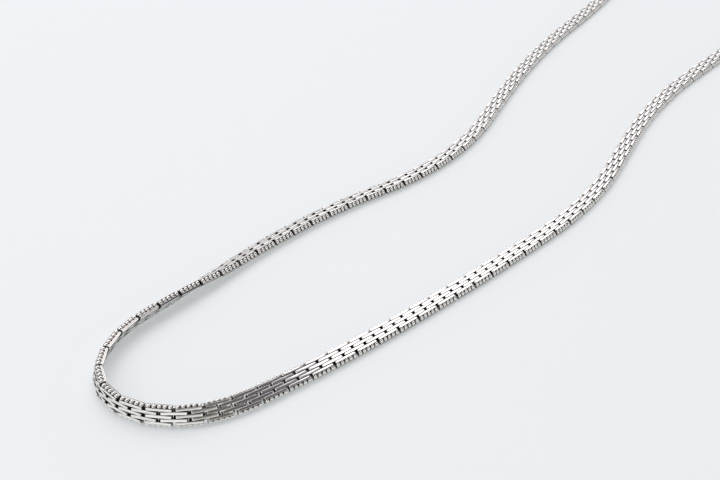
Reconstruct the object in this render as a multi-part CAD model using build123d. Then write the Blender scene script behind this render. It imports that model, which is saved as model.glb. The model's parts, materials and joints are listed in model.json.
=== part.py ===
from build123d import *
import math
import os

# A flat woven-bar chain necklace with beaded edges and a small claw clasp, unclasped and
# lying on a table as a long narrow hairpin. Millimetres, +Z up, table at Z = 0.

# The weave
PERIOD = 5.0  # one bar and the gap behind it
PERIODS = 88
COLUMN_PITCH = 0.60  # from one row of bars to the next, across the ribbon
BAR_WIDTH = 0.46
BAR_HEIGHT = 1.35  # thickness of the ribbon
BAR_GAP = 0.45  # dark gap between two bars of one row
BAR_CORNER = 0.30
BEAD_RAIL = 0.27  # how far an edge bar's beaded side stands out
PIN_RADIUS = 0.22
HOLE_RADIUS = 0.25
PIN_END = 0.20  # how deep a pin sits in an edge bar, past its row's middle

# Clasp, caps and rings
CAP_LENGTH = 1.9
CAP_CORNER = 0.25
EYE_RADIUS = 0.90
EYE_HOLE = 0.48
EYE_WIDTH = 0.70
EYE_STEP = 0.75  # from a cap's end face to the middle of its eye
JUMP_RING_RADIUS = 1.65
JUMP_RING_WIRE = 0.30
CATCH_RING_RADIUS = 2.10
CATCH_RING_WIRE = 0.35
CLAW_THICK = 1.80
CLAW_INNER = 1.55
CLAW_OUTER = 2.60
CLAW_CENTRE = 4.25  # from the clasp's eye to the middle of the claw
NECK_START = 0.60
NECK_END = 2.30
NECK_WIDTH = 1.50
PIVOT_ANGLE = 150.0  # where the lever's rivet stands on the claw's ring
NOSE_ANGLE = 40.0
CHEEK_RADIUS = 0.55
RIVET_RADIUS = 0.22
LEVER_INNER = 1.75
LEVER_OUTER = 2.35
LEVER_REACH = 2.62  # from the rivet to the lever's tip
MOUTH_REACH = 2.72  # the claw's nose is cut back to here
LEVER_LOW = -0.42
LEVER_HIGH = 0.38
SLOT_LOW = -0.47
SLOT_HIGH = 0.62
SLOT_RADIUS = 0.62
SPRING_INNER = 0.27
SPRING_OUTER = 0.45
SPRING_LOW = 0.42
SPRING_HIGH = 0.57

# The lie of the chain, from the catch ring's end round the bend to the clasp's end:
# arcs of (periods, degrees turned to the left).
START_HEADING = -163.0
LAY = [
    (8, -9), (8, 10), (4, 2), (8, -32), (8, 16), (4, -4),
    (1, 6), (1, 12), (1, 14), (1, 19), (1, 23), (1, 24), (1, 20), (2, 32), (1, 13), (1, 7),
    (5, 4), (10, 5), (6, 18), (3, 0), (7, -15), (6, -1),
]
# How steeply the ribbon stands on its outer edge: (periods from the middle, degrees).
LEAN = [
    (-44, 0), (-38, 0), (-25, 3), (-18, 4), (-14, 6), (-10, 9), (-8, 16), (-7, 26), (-6, 41),
    (-5, 53), (-3, 62), (-1, 70), (0, 76), (2, 75), (4, 64), (5, 54), (7, 33), (10, 17),
    (13, 9), (20, 5), (38, 0), (44, 0),
]

# Stretches of chain between two hinges, in links, from the bend's middle out along a leg.
# Round the bend a stretch is one node; along the legs its inner rows have their own.
BEND_STRETCHES = 5
STRETCH_LINKS = [2, 2, 2, 2, 2, 4, 8, 8, 8, 8, 8, 8, 8, 8, 8]

HALF = PERIOD / 2
OVERHANG = (HALF - BAR_GAP) / 2
EDGE_ROW = 2 * COLUMN_PITCH
RIBBON_HALF = EDGE_ROW + BAR_WIDTH / 2 + BEAD_RAIL
PIN_COUNT = 2 * PERIODS
LINK_COUNT = PIN_COUNT - 1

# Along the ends: distances outwards from the last pin, and heights above the table.
CAP_START = HALF - OVERHANG
CAP_END = CAP_START + CAP_LENGTH
EYE_X = CAP_END + EYE_STEP
EYE_Z = EYE_RADIUS
CLASP_X = EYE_X + 2 * JUMP_RING_RADIUS
PIVOT_RADIUS = (LEVER_INNER + LEVER_OUTER) / 2
PIVOT_X = PIVOT_RADIUS * math.cos(math.radians(PIVOT_ANGLE))
PIVOT_Y = PIVOT_RADIUS * math.sin(math.radians(PIVOT_ANGLE))


def along(table, station):
    """Reads a value off a list of (station, value) by straight lines between its points."""
    for (low, low_value), (high, high_value) in zip(table, table[1:]):
        if station <= high:
            return low_value + (high_value - low_value) * (station - low) / (high - low)
    return table[-1][1]


def heading_table():
    """The ribbon's compass heading at the end of each arc of its lie."""
    station = -PERIODS / 2
    heading = START_HEADING
    table = [(station, heading)]
    for periods, turn in LAY:
        station += periods
        heading += turn
        table.append((station, heading))
    return table


def lay_pins():
    """Middle point, across direction and forward direction at every cross pin."""
    headings = heading_table()
    points = []
    acrosses = []
    forwards = []
    x = 0.0
    y = 0.0
    for index in range(PIN_COUNT):
        station = (index - LINK_COUNT / 2) / 2
        heading = math.radians(along(headings, station))
        lean = math.radians(along(LEAN, station))
        height = RIBBON_HALF * math.sin(lean) + BAR_HEIGHT / 2 * math.cos(lean)
        points.append(Vector(x, y, height))
        left = Vector(-math.sin(heading), math.cos(heading), 0)
        acrosses.append(left * math.cos(lean) + Vector(0, 0, math.sin(lean)))
        forwards.append(Vector(math.cos(heading), math.sin(heading), 0))
        step = math.radians(along(headings, station + 0.25))
        x += HALF * math.cos(step)
        y += HALF * math.sin(step)
    return points, acrosses, forwards


def cylinder_along(centre, direction, radius, length):
    return Plane(origin=centre, z_dir=direction) * Cylinder(radius, length)


def pin(index):
    """One cross pin, through all five rows and pressed into the two edge bars."""
    length = 2 * (EDGE_ROW + PIN_END)
    return cylinder_along(POINTS[index], ACROSS[index], PIN_RADIUS, length)


def bar(first, row):
    """One bar of a row, from pin number `first` to the next, with its two holes."""
    offset = row * COLUMN_PITCH
    start = POINTS[first] + ACROSS[first] * offset
    end = POINTS[first + 1] + ACROSS[first + 1] * offset
    forward = (end - start).normalized()
    mean = ACROSS[first] + ACROSS[first + 1]
    across = (mean - forward * mean.dot(forward)).normalized()
    low = -BAR_WIDTH / 2 - (BEAD_RAIL if row == -2 else 0)
    high = BAR_WIDTH / 2 + (BEAD_RAIL if row == 2 else 0)
    length = (end - start).length + 2 * OVERHANG
    side = Plane(origin=(start + end) / 2 + across * low, x_dir=forward, z_dir=across)
    outline = side * RectangleRounded(length, BAR_HEIGHT, BAR_CORNER)
    solid = extrude(outline, amount=high - low, dir=across)
    for index, centre in ((first, start), (first + 1, end)):
        if abs(row) == 2:
            solid = solid - pin(index)
        else:
            solid = solid - cylinder_along(centre, ACROSS[index], HOLE_RADIUS, 2 * BAR_WIDTH)
    return solid


def edge_rows(first_pin, last_pin):
    """The beaded edge bars between two pins, and the pins pressed into them."""
    solids = []
    for link in range(first_pin, last_pin):
        if link % 2 == 0:
            solids += bar(link, -2).solids()
            solids += bar(link, 2).solids()
            solids += pin(link).solids()
            solids += pin(link + 1).solids()
    return solids


def inner_rows(first_pin, last_pin):
    """The centre bars of three-bar links and the two bars of the links between them."""
    solids = []
    for link in range(first_pin, last_pin):
        rows = (0,) if link % 2 == 0 else (-1, 1)
        for row in rows:
            solids += bar(link, row).solids()
    return solids


def stretches():
    """Names and pin spans of the stretches: the bend's middle, then out along both legs."""
    low = PIN_COUNT // 2 - 2
    high = PIN_COUNT // 2 + 1
    spans = [("chain_bend_middle", low, high)]
    for number, links in enumerate(STRETCH_LINKS, start=1):
        spans.append((f"chain_near_{number:02d}", high, high + links))
        spans.append((f"chain_far_{number:02d}", low - links, low))
        high += links
        low -= links
    return spans


def chain_nodes():
    """The nodes of each stretch, by the stretch's name."""
    found = {}
    for name, first, last in stretches():
        edges = edge_rows(first, last)
        inners = inner_rows(first, last)
        if last - first <= 3:
            found[name] = {name: Compound(children=edges + inners)}
        else:
            found[name] = {
                name.replace("chain", "edge_bars"): Compound(children=edges),
                name.replace("chain", "inner_bars"): Compound(children=inners),
            }
    return found


def end_frame(index, outward):
    """A level frame at an end pin: X out of the chain's end, Z up from the table."""
    point = POINTS[index]
    return Plane(origin=(point.X, point.Y, 0), x_dir=outward, z_dir=(0, 0, 1))


def eye(x, z):
    """A cast eye standing on the table, its hole across the ribbon."""
    turn = Pos(x, 0, z) * Rot(90, 0, 0)
    return turn * Cylinder(EYE_RADIUS, EYE_WIDTH), turn * Cylinder(EYE_HOLE, 2 * EYE_WIDTH)


def end_cap():
    """Solid block that ends the ribbon: two lugs on the last pin, and an eye for a ring."""
    length = CAP_END - CAP_START
    block = Pos(CAP_START + length / 2, 0, BAR_HEIGHT / 2) * Box(
        length, 2 * RIBBON_HALF, BAR_HEIGHT
    )
    block = fillet(block.edges().filter_by(Axis.Z), CAP_CORNER)
    lug_length = OVERHANG + CAP_START + length / 2
    lug_side = RectangleRounded(lug_length, BAR_HEIGHT, BAR_CORNER)
    lug = Rot(90, 0, 0) * extrude(lug_side, BAR_WIDTH / 2, both=True)
    for row in (-1, 1):
        block = block + Pos(lug_length / 2 - OVERHANG, row * COLUMN_PITCH, BAR_HEIGHT / 2) * lug
    hole = Pos(0, 0, BAR_HEIGHT / 2) * Rot(90, 0, 0) * Cylinder(HOLE_RADIUS, 2 * EDGE_ROW)
    stem_length = EYE_STEP
    stem = Pos(CAP_END + stem_length / 2 - CAP_CORNER, 0, BAR_HEIGHT / 2) * Box(
        stem_length, EYE_WIDTH, BAR_HEIGHT
    )
    ring, bore = eye(EYE_X, EYE_Z)
    return block + stem + ring - bore - hole


def jump_ring():
    """Closed wire ring between the cap's eye and the clasp's eye."""
    return Pos(EYE_X + JUMP_RING_RADIUS, 0, EYE_Z) * Torus(JUMP_RING_RADIUS, JUMP_RING_WIRE)


def catch_ring():
    """Closed wire ring that the claw hooks, its far side resting on the table."""
    drop = math.degrees(math.asin((EYE_Z - CATCH_RING_WIRE) / (2 * CATCH_RING_RADIUS)))
    ring = Pos(CATCH_RING_RADIUS, 0, 0) * Torus(CATCH_RING_RADIUS, CATCH_RING_WIRE)
    return Pos(EYE_X, 0, EYE_Z) * Rot(0, drop, 0) * ring


def disc(radius, low, high, x=0.0, y=0.0):
    return Pos(x, y, (low + high) / 2) * Cylinder(radius, high - low)


def wedge(inner, outer, low, high, start, stop):
    """Part of a flat ring about the Z axis, between two angles in degrees."""
    steps = math.ceil((stop - start) / 45)
    angles = [math.radians(start + (stop - start) * step / steps) for step in range(steps + 1)]
    reach = 2 * outer
    corners = [(0, 0)] + [(reach * math.cos(angle), reach * math.sin(angle)) for angle in angles]
    pie = Pos(0, 0, low) * extrude(Polygon(*corners, align=None), amount=high - low)
    return (disc(outer, low, high) & pie) - disc(inner, low, high)


CLAW_AT = Pos(CLASP_X + CLAW_CENTRE, 0, EYE_Z)


def clasp_body():
    """Claw: an eye, a neck and a hooked ring with a slot for the lever."""
    half = CLAW_THICK / 2
    hook = wedge(CLAW_INNER, CLAW_OUTER, -half, half, PIVOT_ANGLE, 360 + NOSE_ANGLE + 30)
    mouth = disc(MOUTH_REACH, -half, half, PIVOT_X, PIVOT_Y) & wedge(
        CLAW_INNER / 2, 2 * CLAW_OUTER, -half, half, NOSE_ANGLE - 10, NOSE_ANGLE + 60
    )
    hook = hook - mouth + disc(CHEEK_RADIUS, -half, half, PIVOT_X, PIVOT_Y)
    neck_length = NECK_END - NECK_START
    neck = Pos(NECK_START + neck_length / 2 - CLAW_CENTRE, 0, 0) * Box(
        neck_length, NECK_WIDTH, CLAW_THICK
    )
    claw = CLAW_AT * (
        hook + neck
        - disc(SLOT_RADIUS, SLOT_LOW, SLOT_HIGH, PIVOT_X, PIVOT_Y)
        - disc(RIVET_RADIUS, -half, half, PIVOT_X, PIVOT_Y)
    )
    ring, bore = eye(CLASP_X, EYE_Z)
    return claw + ring - bore


def clasp_lever():
    """Sprung gate that closes the claw's mouth, with a nub for the thumbnail."""
    arm = wedge(LEVER_INNER, LEVER_OUTER, LEVER_LOW, LEVER_HIGH, NOSE_ANGLE, PIVOT_ANGLE)
    arm = arm & disc(LEVER_REACH, LEVER_LOW, LEVER_HIGH, PIVOT_X, PIVOT_Y)
    nub = wedge(LEVER_INNER, 1.2 * CLAW_OUTER, LEVER_LOW, LEVER_HIGH, 112, 128)
    boss = disc(PIN_RADIUS + BAR_CORNER, LEVER_LOW, LEVER_HIGH, PIVOT_X, PIVOT_Y)
    bore = disc(HOLE_RADIUS, -CLAW_THICK, CLAW_THICK, PIVOT_X, PIVOT_Y)
    return CLAW_AT * (arm + nub + boss - bore)


def lever_rivet():
    """Headless rivet pressed through both cheeks of the claw."""
    return CLAW_AT * disc(RIVET_RADIUS, -CLAW_THICK / 2, CLAW_THICK / 2, PIVOT_X, PIVOT_Y)


def lever_spring():
    """Flat torsion coil round the rivet, hidden above the lever."""
    outer = disc(SPRING_OUTER, SPRING_LOW, SPRING_HIGH, PIVOT_X, PIVOT_Y)
    inner = disc(SPRING_INNER, SPRING_LOW, SPRING_HIGH, PIVOT_X, PIVOT_Y)
    return CLAW_AT * (outer - inner)


POINTS, ACROSS, FORWARD = lay_pins()
CLASP_END = end_frame(LINK_COUNT, FORWARD[LINK_COUNT])
CATCH_END = end_frame(0, FORWARD[0] * -1)


def build():
    """Every node by name, before the whole is moved to its origin."""
    nodes = {}
    for parts in chain_nodes().values():
        nodes.update(parts)
    nodes["clasp_end_cap"] = CLASP_END * end_cap()
    nodes["jump_ring"] = CLASP_END * jump_ring()
    nodes["clasp_body"] = CLASP_END * clasp_body()
    nodes["clasp_lever"] = CLASP_END * clasp_lever()
    nodes["lever_rivet"] = CLASP_END * lever_rivet()
    nodes["lever_spring"] = CLASP_END * lever_spring()
    nodes["catch_end_cap"] = CATCH_END * end_cap()
    nodes["catch_ring"] = CATCH_END * catch_ring()
    return nodes


def origin_shift(nodes):
    """The move that puts the origin under the middle of the whole, on the table."""
    solids = [solid for node in nodes.values() for solid in node.solids()]
    box = Compound(children=solids).bounding_box()
    return Vector(-(box.min.X + box.max.X) / 2, -(box.min.Y + box.max.Y) / 2, -box.min.Z)


NODES = build()
SHIFT = origin_shift(NODES)
os.makedirs("parts", exist_ok=True)
for name, node in NODES.items():
    export_step(Location(SHIFT) * node, f"parts/{name}.step")
print("nodes", len(NODES), "shift", SHIFT)
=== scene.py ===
import json
import math

import bmesh
import bpy
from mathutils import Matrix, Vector


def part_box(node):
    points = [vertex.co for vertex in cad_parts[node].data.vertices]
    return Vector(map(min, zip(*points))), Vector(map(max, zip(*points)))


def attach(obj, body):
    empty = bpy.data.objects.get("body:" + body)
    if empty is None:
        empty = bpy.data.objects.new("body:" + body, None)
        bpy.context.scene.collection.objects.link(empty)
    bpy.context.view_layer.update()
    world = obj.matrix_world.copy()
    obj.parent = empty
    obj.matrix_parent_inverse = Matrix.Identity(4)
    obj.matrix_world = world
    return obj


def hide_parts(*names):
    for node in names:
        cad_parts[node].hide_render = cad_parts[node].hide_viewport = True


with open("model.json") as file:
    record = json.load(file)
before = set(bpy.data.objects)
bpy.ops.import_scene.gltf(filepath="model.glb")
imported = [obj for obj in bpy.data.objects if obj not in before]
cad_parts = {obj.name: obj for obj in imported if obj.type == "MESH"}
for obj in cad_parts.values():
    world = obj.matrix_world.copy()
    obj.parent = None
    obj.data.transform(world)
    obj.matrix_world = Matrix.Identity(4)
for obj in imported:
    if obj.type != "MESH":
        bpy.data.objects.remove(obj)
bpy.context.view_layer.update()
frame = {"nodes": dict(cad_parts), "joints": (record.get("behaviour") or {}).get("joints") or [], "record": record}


# --- The lie of the chain --------------------------------------------------------------------
# A woven-bar ribbon of 88 periods, 5 mm each. Cross pins stand every half period and carry it.
# It lies as a long hairpin: arcs of (periods, degrees turned left), leaning up round the bend.
MM = 0.001
PERIOD = 5.0 * MM
PERIODS = 88
HALF = PERIOD / 2
ROW_PITCH = 0.60 * MM
RIBBON_HALF = 1.70 * MM
RIBBON_THICK = 1.35 * MM
START_HEADING = -163.0
LAY = [
    (8, -9), (8, 10), (4, 2), (8, -32), (8, 16), (4, -4),
    (1, 6), (1, 12), (1, 14), (1, 19), (1, 23), (1, 24), (1, 20), (2, 32), (1, 13), (1, 7),
    (5, 4), (10, 5), (6, 18), (3, 0), (7, -15), (6, -1),
]
LEAN = [
    (-44, 0), (-38, 0), (-25, 3), (-18, 4), (-14, 6), (-10, 9), (-8, 16), (-7, 26), (-6, 41),
    (-5, 53), (-3, 62), (-1, 70), (0, 76), (2, 75), (4, 64), (5, 54), (7, 33), (10, 17),
    (13, 9), (20, 5), (38, 0), (44, 0),
]


def along(table, station):
    for (low, low_value), (high, high_value) in zip(table, table[1:]):
        if station <= high:
            return low_value + (high_value - low_value) * (station - low) / (high - low)
    return table[-1][1]


headings = [(-PERIODS / 2, START_HEADING)]
for periods, turn in LAY:
    headings.append((headings[-1][0] + periods, headings[-1][1] + turn))

pin_points = []
pin_across = []
walk = Vector((0, 0, 0))
for index in range(2 * PERIODS):
    station = (index - (2 * PERIODS - 1) / 2) / 2
    heading = math.radians(along(headings, station))
    lean = math.radians(along(LEAN, station))
    height = RIBBON_HALF * math.sin(lean) + RIBBON_THICK / 2 * math.cos(lean)
    pin_points.append(walk + Vector((0, 0, height)))
    left = Vector((-math.sin(heading), math.cos(heading), 0))
    pin_across.append(left * math.cos(lean) + Vector((0, 0, math.sin(lean))))
    step = math.radians(along(headings, station + 0.25))
    walk = walk + HALF * Vector((math.cos(step), math.sin(step), 0))

# The hinge of the first near stretch is pin 89, which places the whole walk in the frame.
first_hinge = next(j for j in frame["joints"] if j["name"] == "hinge_near_01")
to_frame = Vector(first_hinge["pos_m"]) - pin_points[PERIODS + 1]
pin_points = [point + to_frame for point in pin_points]


STRETCH_LINKS = [2, 2, 2, 2, 2, 4, 8, 8, 8, 8, 8, 8, 8, 8, 8]


def stretches():
    """Each chain body with its first and last pin, as the hinges part them."""
    low, high = PERIODS - 2, PERIODS + 1
    found = {"chain_bend_middle": (low, high)}
    for number, links in enumerate(STRETCH_LINKS, start=1):
        found[f"chain_near_{number:02d}"] = (high, high + links)
        found[f"chain_far_{number:02d}"] = (low - links, low)
        high, low = high + links, low - links
    return found


STRETCHES = stretches()
body_nodes = frame["record"]["behaviour"]["bodies"]


# --- Camera ----------------------------------------------------------------------------------
# Above and to one side of the bend, looking along the loop to its open ends, tipped down 35°.
bend_middle = (pin_points[PERIODS - 1] + pin_points[PERIODS]) / 2
camera = bpy.data.objects.new("camera", bpy.data.cameras.new("camera"))
bpy.context.collection.objects.link(camera)
CAMERA_BACK = (-0.0838, -0.1399)
CAMERA_HEIGHT = 0.1394
CAMERA_DOWN = 35
CAMERA_TURN = -47
CAMERA_LENS = 60
camera.location = (bend_middle.x + CAMERA_BACK[0], bend_middle.y + CAMERA_BACK[1], CAMERA_HEIGHT)
camera.rotation_euler = (math.radians(90 - CAMERA_DOWN), 0, math.radians(CAMERA_TURN))
camera.data.lens = CAMERA_LENS
camera.data.clip_start = 0.005
bpy.context.scene.camera = camera


# --- Table and studio light ------------------------------------------------------------------
# A plain near-white table under a big soft window, high on the far side. The room is pale low
# down and dark over the camera's side, which gives the silver its whites and its greys.
bpy.context.scene.view_settings.view_transform = "Standard"
bpy.ops.mesh.primitive_plane_add(size=3)
table = bpy.context.object
table.name = "table"
table_paint = bpy.data.materials.new("table_paint")
table_paint.use_nodes = True
table_shader = table_paint.node_tree.nodes["Principled BSDF"]
table_shader.inputs["Base Color"].default_value = (0.575, 0.60, 0.605, 1)
table_shader.inputs["Roughness"].default_value = 0.6
# Painted light: the table glows a little of its own, which weakens the shadows cast on it and lights the chain
# from below.
table_shader.inputs["Emission Color"].default_value = (0.92, 0.96, 0.98, 1)
table_shader.inputs["Emission Strength"].default_value = 0.35
table.data.materials.append(table_paint)

world = bpy.data.worlds.new("room")
bpy.context.scene.world = world
world.use_nodes = True
room = world.node_tree.nodes
join = world.node_tree.links.new
look = room.new("ShaderNodeTexCoord")
toward = room.new("ShaderNodeVectorMath")
toward.operation = "DOT_PRODUCT"
WINDOW_SIDE = (0.40, 0.37, 0.84)
toward.inputs[1].default_value = WINDOW_SIDE
join(look.outputs["Generated"], toward.inputs[0])
shift = room.new("ShaderNodeMath")
shift.operation = "MULTIPLY_ADD"
shift.inputs[1].default_value = 0.5
shift.inputs[2].default_value = 0.5
join(toward.outputs["Value"], shift.inputs[0])
window = room.new("ShaderNodeValToRGB")
window.color_ramp.elements[0].position = 0.30
window.color_ramp.elements[0].color = (0.30, 0.29, 0.30, 1)
window.color_ramp.elements[1].position = 0.965
window.color_ramp.elements[1].color = (1.50, 1.42, 1.46, 1)
for position, colour in (
    (0.60, (0.16, 0.15, 0.13, 1)), (0.85, (0.12, 0.11, 0.14, 1)), (0.92, (0.34, 0.33, 0.37, 1)),
):
    window.color_ramp.elements.new(position).color = colour
join(shift.outputs["Value"], window.inputs["Fac"])
height = room.new("ShaderNodeSeparateXYZ")
join(look.outputs["Generated"], height.inputs["Vector"])
low_walls = room.new("ShaderNodeValToRGB")
low_walls.color_ramp.elements[0].position = 0.0
low_walls.color_ramp.elements[0].color = (0.86, 0.87, 0.86, 1)
low_walls.color_ramp.elements[1].position = 0.50
low_walls.color_ramp.elements[1].color = (0, 0, 0, 1)
low_walls.color_ramp.elements.new(0.30).color = (0.60, 0.61, 0.61, 1)
join(height.outputs["Z"], low_walls.inputs["Fac"])
both = room.new("ShaderNodeMix")
both.data_type = "RGBA"
both.blend_type = "ADD"
both.inputs["Factor"].default_value = 1.0
join(window.outputs["Color"], both.inputs["A"])
join(low_walls.outputs["Color"], both.inputs["B"])
join(both.outputs["Result"], room["Background"].inputs["Color"])
room["Background"].inputs["Strength"].default_value = 1.0


def softbox(name, at, size, power):
    lamp = bpy.data.objects.new(name, bpy.data.lights.new(name, "AREA"))
    lamp.data.shape = "RECTANGLE"
    lamp.data.size, lamp.data.size_y = size
    lamp.data.energy = power
    lamp.location = at
    lamp.rotation_euler = (-Vector(at)).to_track_quat("-Z", "Y").to_euler()
    bpy.context.collection.objects.link(lamp)


softbox("window", (0.50, 0.50, 0.95), (1.4, 1.2), 3.4)
softbox("side_fill", (-0.75, 0.35, 0.75), (0.9, 0.8), 4)


# --- Centre and inner bars -------------------------------------------------------------------
# Cast silver bars 4.55 mm long in three rows, the inner two half a period behind the centre one.
# Each has eased edges and rides on two cross pins. A low foot in the middle of each side closes
# the gap of the rows beside it from below, so no light shows through the ribbon.
def silver(name, bright, shade, low_rough, high_rough):
    """Tumbled and polished metal: bright on the faces, with painted shade mixed in where the mesh's recess
    attribute asks for it.
    """
    metal = bpy.data.materials.new(name)
    metal.use_nodes = True
    nodes = metal.node_tree.nodes
    link = metal.node_tree.links.new
    shader = nodes["Principled BSDF"]
    shader.inputs["Metallic"].default_value = 1.0
    place = nodes.new("ShaderNodeTexCoord")
    cloud = nodes.new("ShaderNodeTexNoise")
    cloud.inputs["Scale"].default_value = 900
    cloud.inputs["Detail"].default_value = 3
    link(place.outputs["Object"], cloud.inputs["Vector"])
    tint = nodes.new("ShaderNodeValToRGB")
    tint.color_ramp.elements[0].position = 0.35
    tint.color_ramp.elements[0].color = (*[0.94 * c for c in bright], 1)
    tint.color_ramp.elements[1].position = 0.65
    tint.color_ramp.elements[1].color = (*bright, 1)
    link(cloud.outputs["Fac"], tint.inputs["Fac"])
    # Painted shade: the shade colour is mixed into the base colour as far as the recess attribute goes, darkening
    # where shade falls.
    recess = nodes.new("ShaderNodeAttribute")
    recess.attribute_name = "recess"
    painted_shade = nodes.new("ShaderNodeMix")
    painted_shade.data_type = "RGBA"
    painted_shade.inputs["B"].default_value = (*shade, 1)
    link(recess.outputs["Fac"], painted_shade.inputs["Factor"])
    link(tint.outputs["Color"], painted_shade.inputs["A"])
    link(painted_shade.outputs["Result"], shader.inputs["Base Color"])
    rough = nodes.new("ShaderNodeMapRange")
    rough.inputs["From Min"].default_value = 0.3
    rough.inputs["From Max"].default_value = 0.7
    rough.inputs["To Min"].default_value = low_rough
    rough.inputs["To Max"].default_value = high_rough
    link(cloud.outputs["Fac"], rough.inputs["Value"])
    link(rough.outputs["Result"], shader.inputs["Roughness"])
    grain = nodes.new("ShaderNodeTexNoise")
    grain.inputs["Scale"].default_value = 6000
    grain.inputs["Detail"].default_value = 2
    link(place.outputs["Object"], grain.inputs["Vector"])
    wave = nodes.new("ShaderNodeTexNoise")
    wave.inputs["Scale"].default_value = 450
    link(place.outputs["Object"], wave.inputs["Vector"])
    fine = nodes.new("ShaderNodeBump")
    fine.inputs["Strength"].default_value = 0.12
    fine.inputs["Distance"].default_value = 0.00002
    link(grain.outputs["Fac"], fine.inputs["Height"])
    broad = nodes.new("ShaderNodeBump")
    broad.inputs["Strength"].default_value = 0.35
    broad.inputs["Distance"].default_value = 0.00012
    link(wave.outputs["Fac"], broad.inputs["Height"])
    link(fine.outputs["Normal"], broad.inputs["Normal"])
    link(broad.outputs["Normal"], shader.inputs["Normal"])
    return metal


# The chain's shade colour is the painted shade on its bars' walls, ends and feet.
chain_silver = silver("chain_silver", (0.84, 0.825, 0.795), (0.05, 0.042, 0.042), 0.08, 0.20)

BAR_WIDTH = 0.525 * MM
BAR_OVERHANG = 1.025 * MM
BAR_LENGTH = HALF + 2 * BAR_OVERHANG
BAR_CORNER = 0.30 * MM


def side_outline(half_length, low, high, corner, steps=3):
    """Points of a rounded rectangle in X and Z, anticlockwise seen from -Y."""
    points = []
    for quarter, (sx, level) in enumerate(((1, high), (-1, high), (-1, low), (1, low))):
        middle_z = level - corner if level == high else level + corner
        for step in range(steps + 1):
            angle = math.radians(90 * quarter + 90 * step / steps)
            x = sx * (half_length - corner) + corner * math.cos(angle)
            points.append((x, middle_z + corner * math.sin(angle)))
    return points


def lofted_bar(name, shells):
    """Bar built of side outlines. A shell is its length, underside, top, how far the painted shade goes
    to its underside and its rings. A ring is how far across it stands, how far it is drawn in
    and how much painted shade it carries, 0 to 1."""
    mesh = bmesh.new()
    dark = mesh.verts.layers.float.new("recess")
    for length, low, high, under, rings in shells:
        loops = []
        for y, inset, recess in rings:
            half_length = length / 2 - inset
            corner = min(BAR_CORNER, (high - low) / 2.2, length / 2.5) - inset * 0.6
            loop = []
            for x, z in side_outline(half_length, low + inset, high - inset, corner):
                vert = mesh.verts.new((x, y, z))
                # Painted shade: the bar's ends darken. Each ring's painted shade lies on its upper half, and on
                # its lower half as far as under allows.
                end_wall = (abs(x) - half_length + corner / 2) / (corner * 0.4)
                wall_dark = recess if z > (low + high) / 2 else recess * under
                vert[dark] = max(wall_dark, 0.85 * min(1, max(0, end_wall)))
                loop.append(vert)
            loops.append(loop)
        for inner, outer in zip(loops, loops[1:]):
            for i, vert in enumerate(inner):
                j = (i + 1) % len(inner)
                mesh.faces.new((vert, outer[i], outer[j], inner[j]))
        mesh.faces.new(loops[0])
        mesh.faces.new(reversed(loops[-1]))
    bmesh.ops.recalc_face_normals(mesh, faces=mesh.faces)
    for face in mesh.faces:
        face.smooth = len(face.verts) == 4
    data = bpy.data.meshes.new(name)
    mesh.to_mesh(data)
    mesh.free()
    return bpy.data.objects.new(name, data)


half_width = BAR_WIDTH / 2
half_thick = RIBBON_THICK / 2
FOOT_LENGTH = 0.38 * MM
FOOT_LOW = -0.665 * MM
FOOT_HIGH = -0.51 * MM
FOOT_OUT = 0.32 * MM
SIDE_EASE = 0.070 * MM
SIDE_TURN = 0.025 * MM
SIDE_DROP = 0.040 * MM
TURN_DROP = 0.006 * MM
# Painted shade: fully on the side walls, partly on the eased side edges and nearly fully on the feet, so grooves
# and gaps between bars read dark.
plain_bar = lofted_bar("plain_bar", [
    (BAR_LENGTH, -half_thick, half_thick, 1, [
        (-half_width, SIDE_DROP, 1.0),
        (-half_width + SIDE_TURN, TURN_DROP, 0.35),
        (-half_width + SIDE_EASE, 0, 0),
        (half_width - SIDE_EASE, 0, 0),
        (half_width - SIDE_TURN, TURN_DROP, 0.35),
        (half_width, SIDE_DROP, 1.0),
    ]),
    (FOOT_LENGTH, FOOT_LOW, FOOT_HIGH, 1, [
        (-half_width - FOOT_OUT, 0, 0.9), (half_width + FOOT_OUT, 0, 0.9),
    ]),
])


def bar_seats(first_pin, last_pin, rows_wanted):
    """Where the bars of a stretch go: middle, forward, face direction and length ratio."""
    seats = []
    for link in range(first_pin, last_pin):
        rows = (-2, 0, 2) if link % 2 == 0 else (-1, 1)
        for row in rows:
            if row not in rows_wanted:
                continue
            start = pin_points[link] + pin_across[link] * row * ROW_PITCH
            end = pin_points[link + 1] + pin_across[link + 1] * row * ROW_PITCH
            forward = (end - start).normalized()
            face = forward.cross(pin_across[link] + pin_across[link + 1]).normalized()
            ratio = ((end - start).length + 2 * BAR_OVERHANG) / BAR_LENGTH
            if row == -2:
                forward = -forward
            seats.append(((start + end) / 2, forward, face, ratio))
    return seats


def seat_points(name, seats):
    """A mesh of loose points that carry each seat's directions for the tree."""
    mesh = bpy.data.meshes.new(name)
    mesh.from_pydata([seat[0] for seat in seats], [], [])
    forward = mesh.attributes.new("forward", "FLOAT_VECTOR", "POINT")
    forward.data.foreach_set("vector", [c for seat in seats for c in seat[1]])
    face = mesh.attributes.new("face", "FLOAT_VECTOR", "POINT")
    face.data.foreach_set("vector", [c for seat in seats for c in seat[2]])
    ratio = mesh.attributes.new("ratio", "FLOAT", "POINT")
    ratio.data.foreach_set("value", [seat[3] for seat in seats])
    points = bpy.data.objects.new(name, mesh)
    bpy.context.collection.objects.link(points)
    return points


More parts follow.
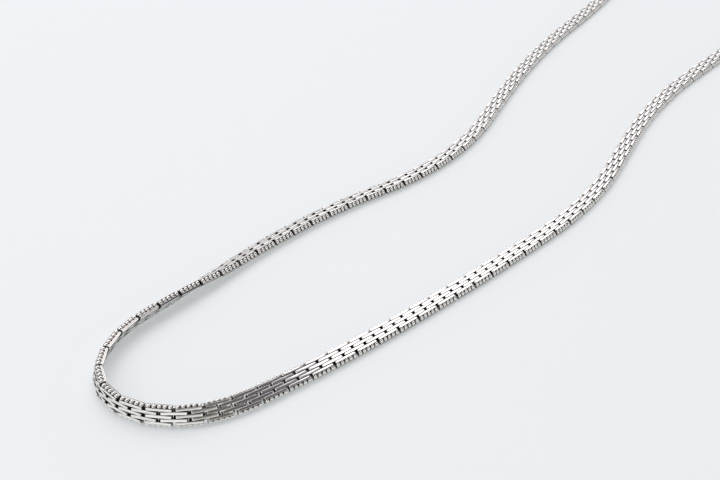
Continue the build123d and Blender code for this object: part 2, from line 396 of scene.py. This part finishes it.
def new_tree(name, sockets):
    """An empty tree with geometry in and out, and the named inputs asked for."""
    tree = bpy.data.node_groups.new(name, "GeometryNodeTree")
    tree.interface.new_socket("Geometry", in_out="INPUT", socket_type="NodeSocketGeometry")
    for title, kind in sockets:
        tree.interface.new_socket(title, in_out="INPUT", socket_type=kind)
    tree.interface.new_socket("Geometry", in_out="OUTPUT", socket_type="NodeSocketGeometry")
    return tree, tree.nodes.new("NodeGroupInput"), tree.nodes.new("NodeGroupOutput")


def read_attribute(tree, name, kind):
    node = tree.nodes.new("GeometryNodeInputNamedAttribute")
    node.data_type = kind
    node.inputs["Name"].default_value = name
    return node.outputs["Attribute"]


def seat_on_points(tree, points, instance, wobble):
    """Instances turned to each seat, stretched to its length and tilted by a hair."""
    link = tree.links.new
    turn = tree.nodes.new("FunctionNodeAxesToRotation")
    turn.primary_axis = "X"
    turn.secondary_axis = "Z"
    link(read_attribute(tree, "forward", "FLOAT_VECTOR"), turn.inputs["Primary Axis"])
    link(read_attribute(tree, "face", "FLOAT_VECTOR"), turn.inputs["Secondary Axis"])
    scale = tree.nodes.new("ShaderNodeCombineXYZ")
    scale.inputs["Y"].default_value = 1
    scale.inputs["Z"].default_value = 1
    link(read_attribute(tree, "ratio", "FLOAT"), scale.inputs["X"])
    place = tree.nodes.new("GeometryNodeInstanceOnPoints")
    link(points, place.inputs["Points"])
    link(instance, place.inputs["Instance"])
    link(turn.outputs["Rotation"], place.inputs["Rotation"])
    link(scale.outputs["Vector"], place.inputs["Scale"])
    lean_to = tree.nodes.new("FunctionNodeRandomValue")
    lean_to.data_type = "FLOAT_VECTOR"
    lean_to.inputs["Seed"].default_value = 11
    lean_from = tree.nodes.new("ShaderNodeVectorMath")
    lean_from.operation = "SCALE"
    lean_from.inputs["Scale"].default_value = -1
    link(wobble, lean_from.inputs[0])
    link(lean_from.outputs["Vector"], lean_to.inputs["Min"])
    link(wobble, lean_to.inputs["Max"])
    tilt = tree.nodes.new("GeometryNodeRotateInstances")
    link(place.outputs["Instances"], tilt.inputs["Instances"])
    link(lean_to.outputs["Value"], tilt.inputs["Rotation"])
    return tilt.outputs["Instances"]


def finish_tree(tree, geometry, metal, output):
    """Realize Instances and Set Material close every tree."""
    real = tree.nodes.new("GeometryNodeRealizeInstances")
    coat = tree.nodes.new("GeometryNodeSetMaterial")
    tree.links.new(geometry, real.inputs["Geometry"])
    tree.links.new(real.outputs["Geometry"], coat.inputs["Geometry"])
    tree.links.new(metal, coat.inputs["Material"])
    tree.links.new(coat.outputs["Geometry"], output.inputs["Geometry"])


def grow(points, tree, values, name):
    """Runs a tree on its points and leaves a plain mesh object in their place."""
    modifier = points.modifiers.new("grow", "NODES")
    modifier.node_group = tree
    for item in tree.interface.items_tree:
        if item.in_out == "INPUT" and item.name in values:
            modifier[item.identifier] = values[item.name]
    evaluated = points.evaluated_get(bpy.context.evaluated_depsgraph_get())
    mesh = bpy.data.meshes.new_from_object(evaluated)
    mesh.name = name
    piece = bpy.data.objects.new(name, mesh)
    bpy.context.collection.objects.link(piece)
    bpy.data.objects.remove(points)
    return piece


plain_tree, given, result = new_tree("bar_rows", [
    ("Bar", "NodeSocketObject"), ("Wobble", "NodeSocketVector"), ("Metal", "NodeSocketMaterial"),
])
shape = plain_tree.nodes.new("GeometryNodeObjectInfo")
plain_tree.links.new(given.outputs["Bar"], shape.inputs["Object"])
bars = seat_on_points(
    plain_tree, given.outputs["Geometry"], shape.outputs["Geometry"], given.outputs["Wobble"]
)
finish_tree(plain_tree, bars, given.outputs["Metal"], result)

WOBBLE = (math.radians(1.8), math.radians(0.6), math.radians(0.25))
for node, (first, last) in STRETCHES.items():
    seats = bar_seats(first, last, (-1, 0, 1))
    points = seat_points("seats", seats)
    values = {"Bar": plain_bar, "Wobble": WOBBLE, "Metal": chain_silver}
    piece = grow(points, plain_tree, values, node.replace("chain", "silver_inner_bars"))
    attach(piece, node)
    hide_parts(body_nodes[node][-1])


# --- Edge bars and their beads ---------------------------------------------------------------
# The two outer rows: a narrower bar with a smooth rail along the underside of its outer side.
# Five polished beads stand in a line above the rail, cast in one with the bar.
CORE_OUT = 0.20 * MM
RAIL_OUT = 0.58 * MM
RAIL_THICK = 0.44 * MM
BEAD_COUNT = 5
BEAD_PITCH = 0.94 * MM
BEAD_SIZE = (0.385 * MM, 0.37 * MM, 0.45 * MM)
BEAD_OUT = 0.34 * MM
BEAD_RISE = 0.14 * MM
# Painted shade: on the inner side wall, on the outer wall of the core above the rail, on the rail's top beside it
# and on the foot.
edge_bar = lofted_bar("edge_bar", [
    (BAR_LENGTH, -half_thick, half_thick, 1, [
        (-half_width, SIDE_DROP, 1.0),
        (-half_width + SIDE_TURN, TURN_DROP, 0.35),
        (-half_width + SIDE_EASE, 0, 0),
        (CORE_OUT - SIDE_EASE, 0, 0),
        (CORE_OUT - 0.020 * MM, 0.010 * MM, 0.2),
        (CORE_OUT, 0.050 * MM, 0.75),
    ]),
    (FOOT_LENGTH, FOOT_LOW, FOOT_HIGH, 1, [(-half_width - FOOT_OUT, 0, 0.9), (0, 0, 0.9)]),
    (BAR_LENGTH, -half_thick, -half_thick + RAIL_THICK, 0, [
        (CORE_OUT - 0.10 * MM, 0.030 * MM, 0.75),
        (RAIL_OUT - 0.10 * MM, 0.004 * MM, 0.5),
        (RAIL_OUT - 0.03 * MM, 0.020 * MM, 0.0),
        (RAIL_OUT, 0.060 * MM, 0.0),
    ]),
])

edge_tree, given, result = new_tree("edge_bars", [
    ("Bar", "NodeSocketObject"), ("Beads", "NodeSocketInt"), ("Bead Pitch", "NodeSocketFloat"),
    ("Bead Size", "NodeSocketVector"), ("Bead Out", "NodeSocketFloat"),
    ("Bead Rise", "NodeSocketFloat"), ("Wobble", "NodeSocketVector"),
    ("Metal", "NodeSocketMaterial"),
])
link = edge_tree.links.new
shape = edge_tree.nodes.new("GeometryNodeObjectInfo")
link(given.outputs["Bar"], shape.inputs["Object"])
row = edge_tree.nodes.new("GeometryNodeMeshLine")
step = edge_tree.nodes.new("ShaderNodeCombineXYZ")
link(given.outputs["Bead Pitch"], step.inputs["X"])
link(given.outputs["Beads"], row.inputs["Count"])
link(step.outputs["Vector"], row.inputs["Offset"])
spread = edge_tree.nodes.new("ShaderNodeMath")
spread.operation = "MULTIPLY_ADD"
link(given.outputs["Beads"], spread.inputs[0])
spread.inputs[1].default_value = -0.5
spread.inputs[2].default_value = 0.5
begin_x = edge_tree.nodes.new("ShaderNodeMath")
begin_x.operation = "MULTIPLY"
link(spread.outputs["Value"], begin_x.inputs[0])
link(given.outputs["Bead Pitch"], begin_x.inputs[1])
begin = edge_tree.nodes.new("ShaderNodeCombineXYZ")
link(begin_x.outputs["Value"], begin.inputs["X"])
link(given.outputs["Bead Out"], begin.inputs["Y"])
link(given.outputs["Bead Rise"], begin.inputs["Z"])
link(begin.outputs["Vector"], row.inputs["Start Location"])
ball = edge_tree.nodes.new("GeometryNodeMeshIcoSphere")
ball.inputs["Radius"].default_value = 1
ball.inputs["Subdivisions"].default_value = 2
round_ball = edge_tree.nodes.new("GeometryNodeSetShadeSmooth")
link(ball.outputs["Mesh"], round_ball.inputs["Geometry"])
beads = edge_tree.nodes.new("GeometryNodeInstanceOnPoints")
link(row.outputs["Mesh"], beads.inputs["Points"])
link(round_ball.outputs["Geometry"], beads.inputs["Instance"])
link(given.outputs["Bead Size"], beads.inputs["Scale"])
solid_beads = edge_tree.nodes.new("GeometryNodeRealizeInstances")
link(beads.outputs["Instances"], solid_beads.inputs["Geometry"])
whole = edge_tree.nodes.new("GeometryNodeJoinGeometry")
link(shape.outputs["Geometry"], whole.inputs["Geometry"])
link(solid_beads.outputs["Geometry"], whole.inputs["Geometry"])
bars = seat_on_points(
    edge_tree, given.outputs["Geometry"], whole.outputs["Geometry"], given.outputs["Wobble"]
)
finish_tree(edge_tree, bars, given.outputs["Metal"], result)

for node, (first, last) in STRETCHES.items():
    points = seat_points("seats", bar_seats(first, last, (-2, 2)))
    values = {
        "Bar": edge_bar, "Beads": BEAD_COUNT, "Bead Pitch": BEAD_PITCH, "Bead Size": BEAD_SIZE,
        "Bead Out": BEAD_OUT, "Bead Rise": BEAD_RISE, "Wobble": WOBBLE, "Metal": chain_silver,
    }
    piece = grow(points, edge_tree, values, node.replace("chain", "silver_edge_bars"))
    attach(piece, node)
    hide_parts(body_nodes[node][0])


# --- Cross pins ------------------------------------------------------------------------------
# Drawn silver wire 0.44 mm thick, cut to 2.8 mm and passed through all five rows.
# Its ends are pressed into the edge bars, and the rows between turn on it.
PIN_RADIUS = 0.22 * MM
PIN_LENGTH = 2.8 * MM
pin_tree, given, result = new_tree("cross_pins", [
    ("Radius", "NodeSocketFloat"), ("Length", "NodeSocketFloat"), ("Metal", "NodeSocketMaterial"),
])
link = pin_tree.links.new
wire = pin_tree.nodes.new("GeometryNodeMeshCylinder")
wire.inputs["Vertices"].default_value = 12
link(given.outputs["Radius"], wire.inputs["Radius"])
link(given.outputs["Length"], wire.inputs["Depth"])
turn = pin_tree.nodes.new("FunctionNodeAxesToRotation")
turn.primary_axis = "Z"
turn.secondary_axis = "X"
link(read_attribute(pin_tree, "face", "FLOAT_VECTOR"), turn.inputs["Primary Axis"])
link(read_attribute(pin_tree, "forward", "FLOAT_VECTOR"), turn.inputs["Secondary Axis"])
pins = pin_tree.nodes.new("GeometryNodeInstanceOnPoints")
link(given.outputs["Geometry"], pins.inputs["Points"])
link(wire.outputs["Mesh"], pins.inputs["Instance"])
link(turn.outputs["Rotation"], pins.inputs["Rotation"])
smooth = pin_tree.nodes.new("GeometryNodeSetShadeSmooth")
smooth.inputs["Shade Smooth"].default_value = False
link(pins.outputs["Instances"], smooth.inputs["Geometry"])
finish_tree(pin_tree, smooth.outputs["Geometry"], given.outputs["Metal"], result)

for node, (first, last) in STRETCHES.items():
    own = [i for i in range(first, last + 1) if (i if i % 2 == 0 else i - 1) in range(first, last)]
    seats = [(pin_points[i], Vector((0, 0, 1)), pin_across[i], 1.0) for i in own]
    points = seat_points("seats", seats)
    values = {"Radius": PIN_RADIUS, "Length": PIN_LENGTH, "Metal": chain_silver}
    piece = grow(points, pin_tree, values, node.replace("chain", "silver_pins"))
    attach(piece, node)
    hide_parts(body_nodes[node][0])
bpy.data.objects.remove(plain_bar)
bpy.data.objects.remove(edge_bar)


# --- End caps --------------------------------------------------------------------------------
# Cast silver blocks that close the ribbon, each with two lugs on the last pin and an eye for a
# ring. Tumbling has rounded their edges.
clasp_silver = silver("clasp_silver", (0.88, 0.87, 0.86), (0.20, 0.19, 0.20), 0.10, 0.24)
CAP_EDGE = 0.12 * MM
MERGE_NEAR = 0.01 * MM
FLAT_ANGLE = 2
SHARP_ANGLE = 40


def eased_copy(node_name, name, edge, metal):
    """The node's own shape with its sharp edges rounded over."""
    shape = bmesh.new()
    shape.from_mesh(frame["nodes"][node_name].data)
    shape.transform(frame["nodes"][node_name].matrix_world)
    bmesh.ops.remove_doubles(shape, verts=shape.verts, dist=MERGE_NEAR)
    bmesh.ops.dissolve_limit(
        shape, angle_limit=math.radians(FLAT_ANGLE), verts=shape.verts, edges=shape.edges
    )
    sharp = math.radians(SHARP_ANGLE)
    corners = [e for e in shape.edges if e.is_manifold and e.calc_face_angle() > sharp]
    bmesh.ops.bevel(shape, geom=corners, offset=edge, segments=3, profile=0.5, affect="EDGES")
    for face in shape.faces:
        face.smooth = True
    for side in shape.edges:
        side.smooth = not side.is_manifold or side.calc_face_angle() < math.radians(35)
    mesh = bpy.data.meshes.new(name)
    shape.to_mesh(mesh)
    shape.free()
    mesh.materials.append(metal)
    piece = bpy.data.objects.new(name, mesh)
    bpy.context.collection.objects.link(piece)
    return piece


for node_name in ("clasp_end_cap", "catch_end_cap"):
    cap = eased_copy(node_name, "silver_" + node_name, CAP_EDGE, clasp_silver)
    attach(cap, node_name)
    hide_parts(node_name)


# --- Jump ring and catch ring ----------------------------------------------------------------
# Drawn silver wire bent round, soldered shut and polished; a little solder thickens the joint.
RING_WIRES = {"jump_ring": 0.30 * MM, "catch_ring": 0.35 * MM}
RING_STEPS = 64
WIRE_STEPS = 16
SOLDER_SWELL = 0.05
SOLDER_STEPS = 1.6
ring_silver = silver("ring_silver", (0.90, 0.89, 0.88), (0.30, 0.29, 0.30), 0.06, 0.14)
hinge_at = {joint["name"]: joint for joint in frame["joints"]}


def wire_ring(name, middle, across, toward_joint, radius, wire, metal):
    """Round ring of wire whose soldered joint stands a hair thicker."""
    shape = bmesh.new()
    up = toward_joint.cross(across).normalized()
    loops = []
    for step in range(RING_STEPS):
        turn = math.radians(360 * step / RING_STEPS)
        out = toward_joint * math.cos(turn) + across * math.sin(turn)
        from_joint = min(step, RING_STEPS - step) / SOLDER_STEPS
        solder = 1 + SOLDER_SWELL * math.exp(-(from_joint**2))
        loop = []
        for side in range(WIRE_STEPS):
            roll = math.radians(360 * side / WIRE_STEPS)
            reach = radius + wire * solder * math.cos(roll)
            loop.append(shape.verts.new(middle + out * reach + up * wire * solder * math.sin(roll)))
        loops.append(loop)
    for inner, outer in zip(loops, loops[1:] + loops[:1]):
        for side in range(WIRE_STEPS):
            other = (side + 1) % WIRE_STEPS
            shape.faces.new((inner[side], outer[side], outer[other], inner[other])).smooth = True
    bmesh.ops.recalc_face_normals(shape, faces=shape.faces)
    mesh = bpy.data.meshes.new(name)
    shape.to_mesh(mesh)
    shape.free()
    mesh.materials.append(metal)
    piece = bpy.data.objects.new(name, mesh)
    bpy.context.collection.objects.link(piece)
    return piece


for name, wire in RING_WIRES.items():
    low, high = (Vector(corner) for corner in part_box(name))
    middle = (low + high) / 2
    swing = hinge_at[name + "_swing"]
    outward = middle - Vector(swing["pos_m"])
    across = Vector(swing["axis"]).normalized()
    joint_side = outward.normalized()
    reach = outward.length
    ring = wire_ring("silver_" + name, middle, across, joint_side, reach, wire, ring_silver)
    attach(ring, name)
    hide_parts(name)


# --- Clasp -----------------------------------------------------------------------------------
# A cast silver claw with an eye and a slot, its sprung lever, the rivet that both turn on and
# a wound steel spring lying in the slot above the lever.
spring_steel = silver("spring_steel", (0.50, 0.51, 0.54), (0.10, 0.10, 0.12), 0.25, 0.40)
CLAW_EDGE = 0.14 * MM
LEVER_EDGE = 0.06 * MM
RIVET_RADIUS = 0.22 * MM
RIVET_HALF = 0.90 * MM
RIVET_DOME = 0.05 * MM
COIL_RADIUS = 0.36 * MM
COIL_WIRE = 0.034 * MM
COIL_LOW = 0.455 * MM
COIL_RISE = 0.075 * MM
COIL_TURNS = 1.5
COIL_LEG = 0.22 * MM
COIL_STEPS = 36
for node_name, body, edge in (
    ("clasp_body", "clasp", CLAW_EDGE), ("clasp_lever", "clasp_lever", LEVER_EDGE),
):
    piece = eased_copy(node_name, "silver_" + node_name, edge, clasp_silver)
    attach(piece, body)
    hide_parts(node_name)

pivot = Vector(hinge_at["lever_pivot"]["pos_m"])
shape = bmesh.new()
profile = [
    (0, -RIVET_HALF - RIVET_DOME), (RIVET_RADIUS * 0.55, -RIVET_HALF - RIVET_DOME * 0.75),
    (RIVET_RADIUS * 0.9, -RIVET_HALF - RIVET_DOME * 0.25), (RIVET_RADIUS, -RIVET_HALF),
    (RIVET_RADIUS, RIVET_HALF), (RIVET_RADIUS * 0.9, RIVET_HALF + RIVET_DOME * 0.25),
    (RIVET_RADIUS * 0.55, RIVET_HALF + RIVET_DOME * 0.75), (0, RIVET_HALF + RIVET_DOME),
]
corners = [shape.verts.new(pivot + Vector((radius, 0, level))) for radius, level in profile]
edges = [shape.edges.new(pair) for pair in zip(corners, corners[1:])]
bmesh.ops.spin(
    shape, geom=corners + edges, cent=pivot, axis=(0, 0, 1), angle=2 * math.pi, steps=24,
    use_merge=True,
)
bmesh.ops.remove_doubles(shape, verts=shape.verts, dist=0.001 * MM)
bmesh.ops.recalc_face_normals(shape, faces=shape.faces)
for face in shape.faces:
    face.smooth = True
mesh = bpy.data.meshes.new("silver_lever_rivet")
shape.to_mesh(mesh)
shape.free()
mesh.materials.append(clasp_silver)
rivet = bpy.data.objects.new("silver_lever_rivet", mesh)
bpy.context.collection.objects.link(rivet)
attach(rivet, "clasp")
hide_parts("lever_rivet")

coil_path = []
for step in range(int(COIL_STEPS * COIL_TURNS) + 1):
    turn = math.radians(360 / COIL_STEPS * step)
    level = COIL_LOW + COIL_RISE * step / (COIL_STEPS * COIL_TURNS)
    out = Vector((COIL_RADIUS * math.cos(turn), COIL_RADIUS * math.sin(turn), level))
    coil_path.append(pivot + out)
first_leg = coil_path[0] + (coil_path[0] - coil_path[1]).normalized() * COIL_LEG
last_leg = coil_path[-1] + (coil_path[-1] - coil_path[-2]).normalized() * COIL_LEG
coil_path = [first_leg] + coil_path + [last_leg]
coil_curve = bpy.data.curves.new("coil", "CURVE")
coil_curve.dimensions = "3D"
coil_curve.bevel_depth = COIL_WIRE
coil_curve.bevel_resolution = 2
coil_curve.use_fill_caps = True
line = coil_curve.splines.new("POLY")
line.points.add(len(coil_path) - 1)
for point, place in zip(line.points, coil_path):
    point.co = (*place, 1)
coil = bpy.data.objects.new("coil", coil_curve)
bpy.context.collection.objects.link(coil)
evaluated = coil.evaluated_get(bpy.context.evaluated_depsgraph_get())
mesh = bpy.data.meshes.new_from_object(evaluated)
mesh.name = "steel_lever_spring"
mesh.materials.clear()
mesh.materials.append(spring_steel)
spring = bpy.data.objects.new("steel_lever_spring", mesh)
bpy.context.collection.objects.link(spring)
bpy.data.objects.remove(coil)
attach(spring, "clasp")
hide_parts("lever_spring")


bpy.context.view_layer.update()
